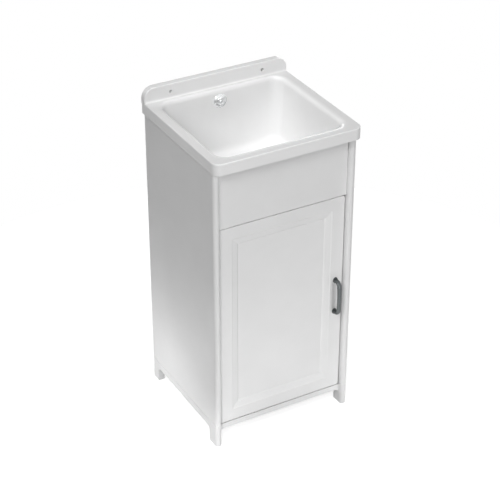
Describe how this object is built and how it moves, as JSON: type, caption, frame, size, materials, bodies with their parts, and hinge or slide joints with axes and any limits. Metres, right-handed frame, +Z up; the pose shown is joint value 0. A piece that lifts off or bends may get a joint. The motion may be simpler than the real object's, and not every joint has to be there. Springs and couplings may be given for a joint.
{
  "type": "utility laundry sink",
  "caption": "Free-standing utility laundry sink: deep moulded basin with a backsplash on a narrow cabinet with a hinged panelled door, overflow, strainer and bottle trap.",
  "frame": {"origin": "on the floor, below the middle of the rim", "axes": "+Z up, the door faces -Y, the backsplash and the wall are at +Y"},
  "size_m": [0.413, 0.392, 0.8895],
  "materials": {
    "basin_gloss": "gloss",
    "cabinet_white": "satin",
    "inner_white": "satin",
    "door_white": "satin",
    "chrome": "polished",
    "handle_metal": "polished dark metal",
    "rubber": "matt",
    "zinc_steel": "zinc plated",
    "bush_plastic": "smooth",
    "catch_plastic": "smooth",
    "waste_plastic": "smooth"
  },
  "bodies": {
    "cabinet": {"apron_screws": "zinc_steel", "base_frame": "cabinet_white", "basin": "basin_gloss", "basin_clip_screws": "zinc_steel", "basin_clips": "zinc_steel", "catch_housing": "catch_plastic", "catch_screws": "zinc_steel", "corner_block_screws": "zinc_steel", "corner_blocks": "inner_white", "drain_body": "waste_plastic", "drain_gasket_lower": "rubber", "drain_gasket_upper": "rubber", "drain_screw": "chrome", "drain_strainer": "chrome", "drain_tail_nut": "waste_plastic", "drain_tail_seal": "rubber", "floor_panel": "inner_white", "floor_screws": "zinc_steel", "front_apron": "cabinet_white", "front_post_left": "cabinet_white", "front_post_right": "cabinet_white", "front_rail": "inner_white", "hinge_pin_lower": "zinc_steel", "hinge_pin_upper": "zinc_steel", "overflow_elbow": "waste_plastic", "overflow_pipe": "waste_plastic", "overflow_rosette": "chrome", "overflow_screw": "chrome", "overflow_seal": "rubber", "rear_lower_rail": "inner_white", "rear_upper_rail": "inner_white", "side_panel_left": "cabinet_white", "side_panel_right": "cabinet_white", "trap_body": "waste_plastic", "trap_cup": "waste_plastic", "trap_cup_seal": "rubber", "trap_inlet_nut": "waste_plastic", "trap_inlet_pipe": "waste_plastic", "trap_inlet_seal": "rubber", "trap_outlet_nut": "waste_plastic", "trap_outlet_seal": "rubber", "waste_outlet_pipe": "waste_plastic"},
    "door": {"door_panel": "door_white", "door_handle": "handle_metal", "handle_screws": "zinc_steel", "door_bush_lower": "bush_plastic", "door_bush_upper": "bush_plastic", "strike_plate": "zinc_steel", "strike_screws": "zinc_steel"}
  },
  "joints": [
    {"name": "door_hinge", "type": "hinge", "parent": "cabinet", "child": "door", "pos_m": [-0.172, -0.154, 0.35575], "axis": [0, 0, -1], "range_deg": [0, 94]}
  ]
}
